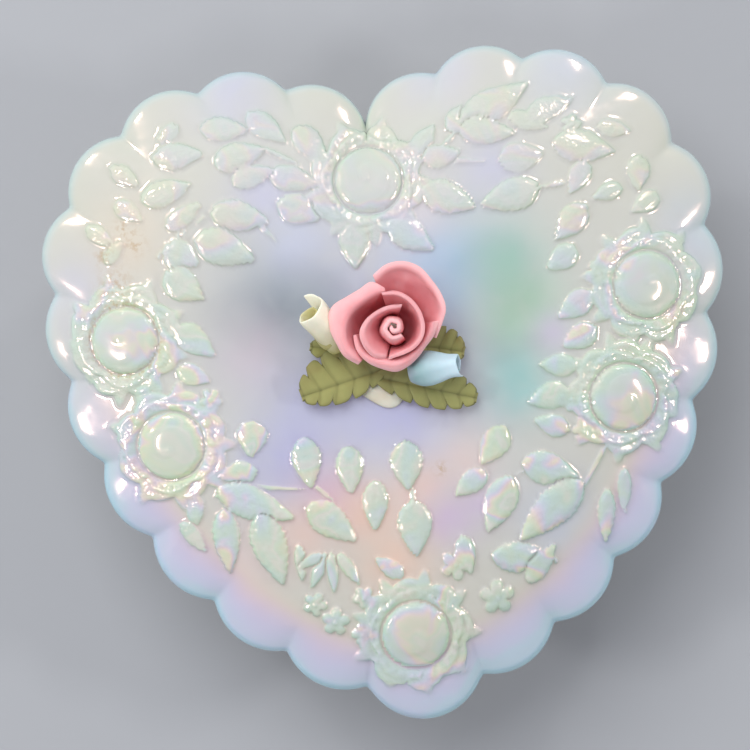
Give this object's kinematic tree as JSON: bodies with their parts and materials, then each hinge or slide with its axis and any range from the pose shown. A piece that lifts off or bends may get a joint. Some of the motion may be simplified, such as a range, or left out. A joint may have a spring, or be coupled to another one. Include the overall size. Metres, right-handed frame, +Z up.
{
  "type": "heart-shaped trinket box",
  "caption": "Heart-shaped pressed milk-glass trinket box with a scalloped rim, a loose lift-off lid and a hand-made clay rose bouquet on the crown.",
  "frame": {"origin": "middle of the box's footprint, on the surface that it stands on", "axes": "+Z up; +Y towards the heart's cleft, -Y towards its tip; +X to the right as seen from above with the cleft at the top"},
  "size_m": [0.1268, 0.1236, 0.059],
  "materials": {
    "milk_glass": "opaque white pressed glass with a thin pearly iridescent lustre",
    "dried_glue": "yellowed clear glue",
    "pink_clay": "tinted clay with a soft satin skin",
    "cream_clay": "tinted clay with a soft satin skin",
    "blue_clay": "tinted clay with a soft satin skin",
    "olive_clay": "tinted clay, satin, darker at the edges"
  },
  "bodies": {
    "base": {"box_base": "milk_glass"},
    "lid": {"lid": "milk_glass", "glue_pad": "dried_glue", "rose_core": "pink_clay", "rose_inner_petal_left": "pink_clay", "rose_inner_petal_right": "pink_clay", "rose_front_petal": "pink_clay", "rose_left_petal": "pink_clay", "rose_back_petal": "pink_clay", "cream_bud_wrap": "cream_clay", "cream_bud_core": "cream_clay", "blue_bud_wrap": "blue_clay", "blue_bud_core": "blue_clay", "leaf_lower_left": "olive_clay", "leaf_lower_right": "olive_clay", "leaf_upper_right": "olive_clay", "leaf_upper_left": "olive_clay"}
  },
  "joints": [
    {"name": "lid_lift", "type": "slide", "parent": "base", "child": "lid", "axis": [0, 0, 1], "range_m": [0, 0.08]}
  ]
}
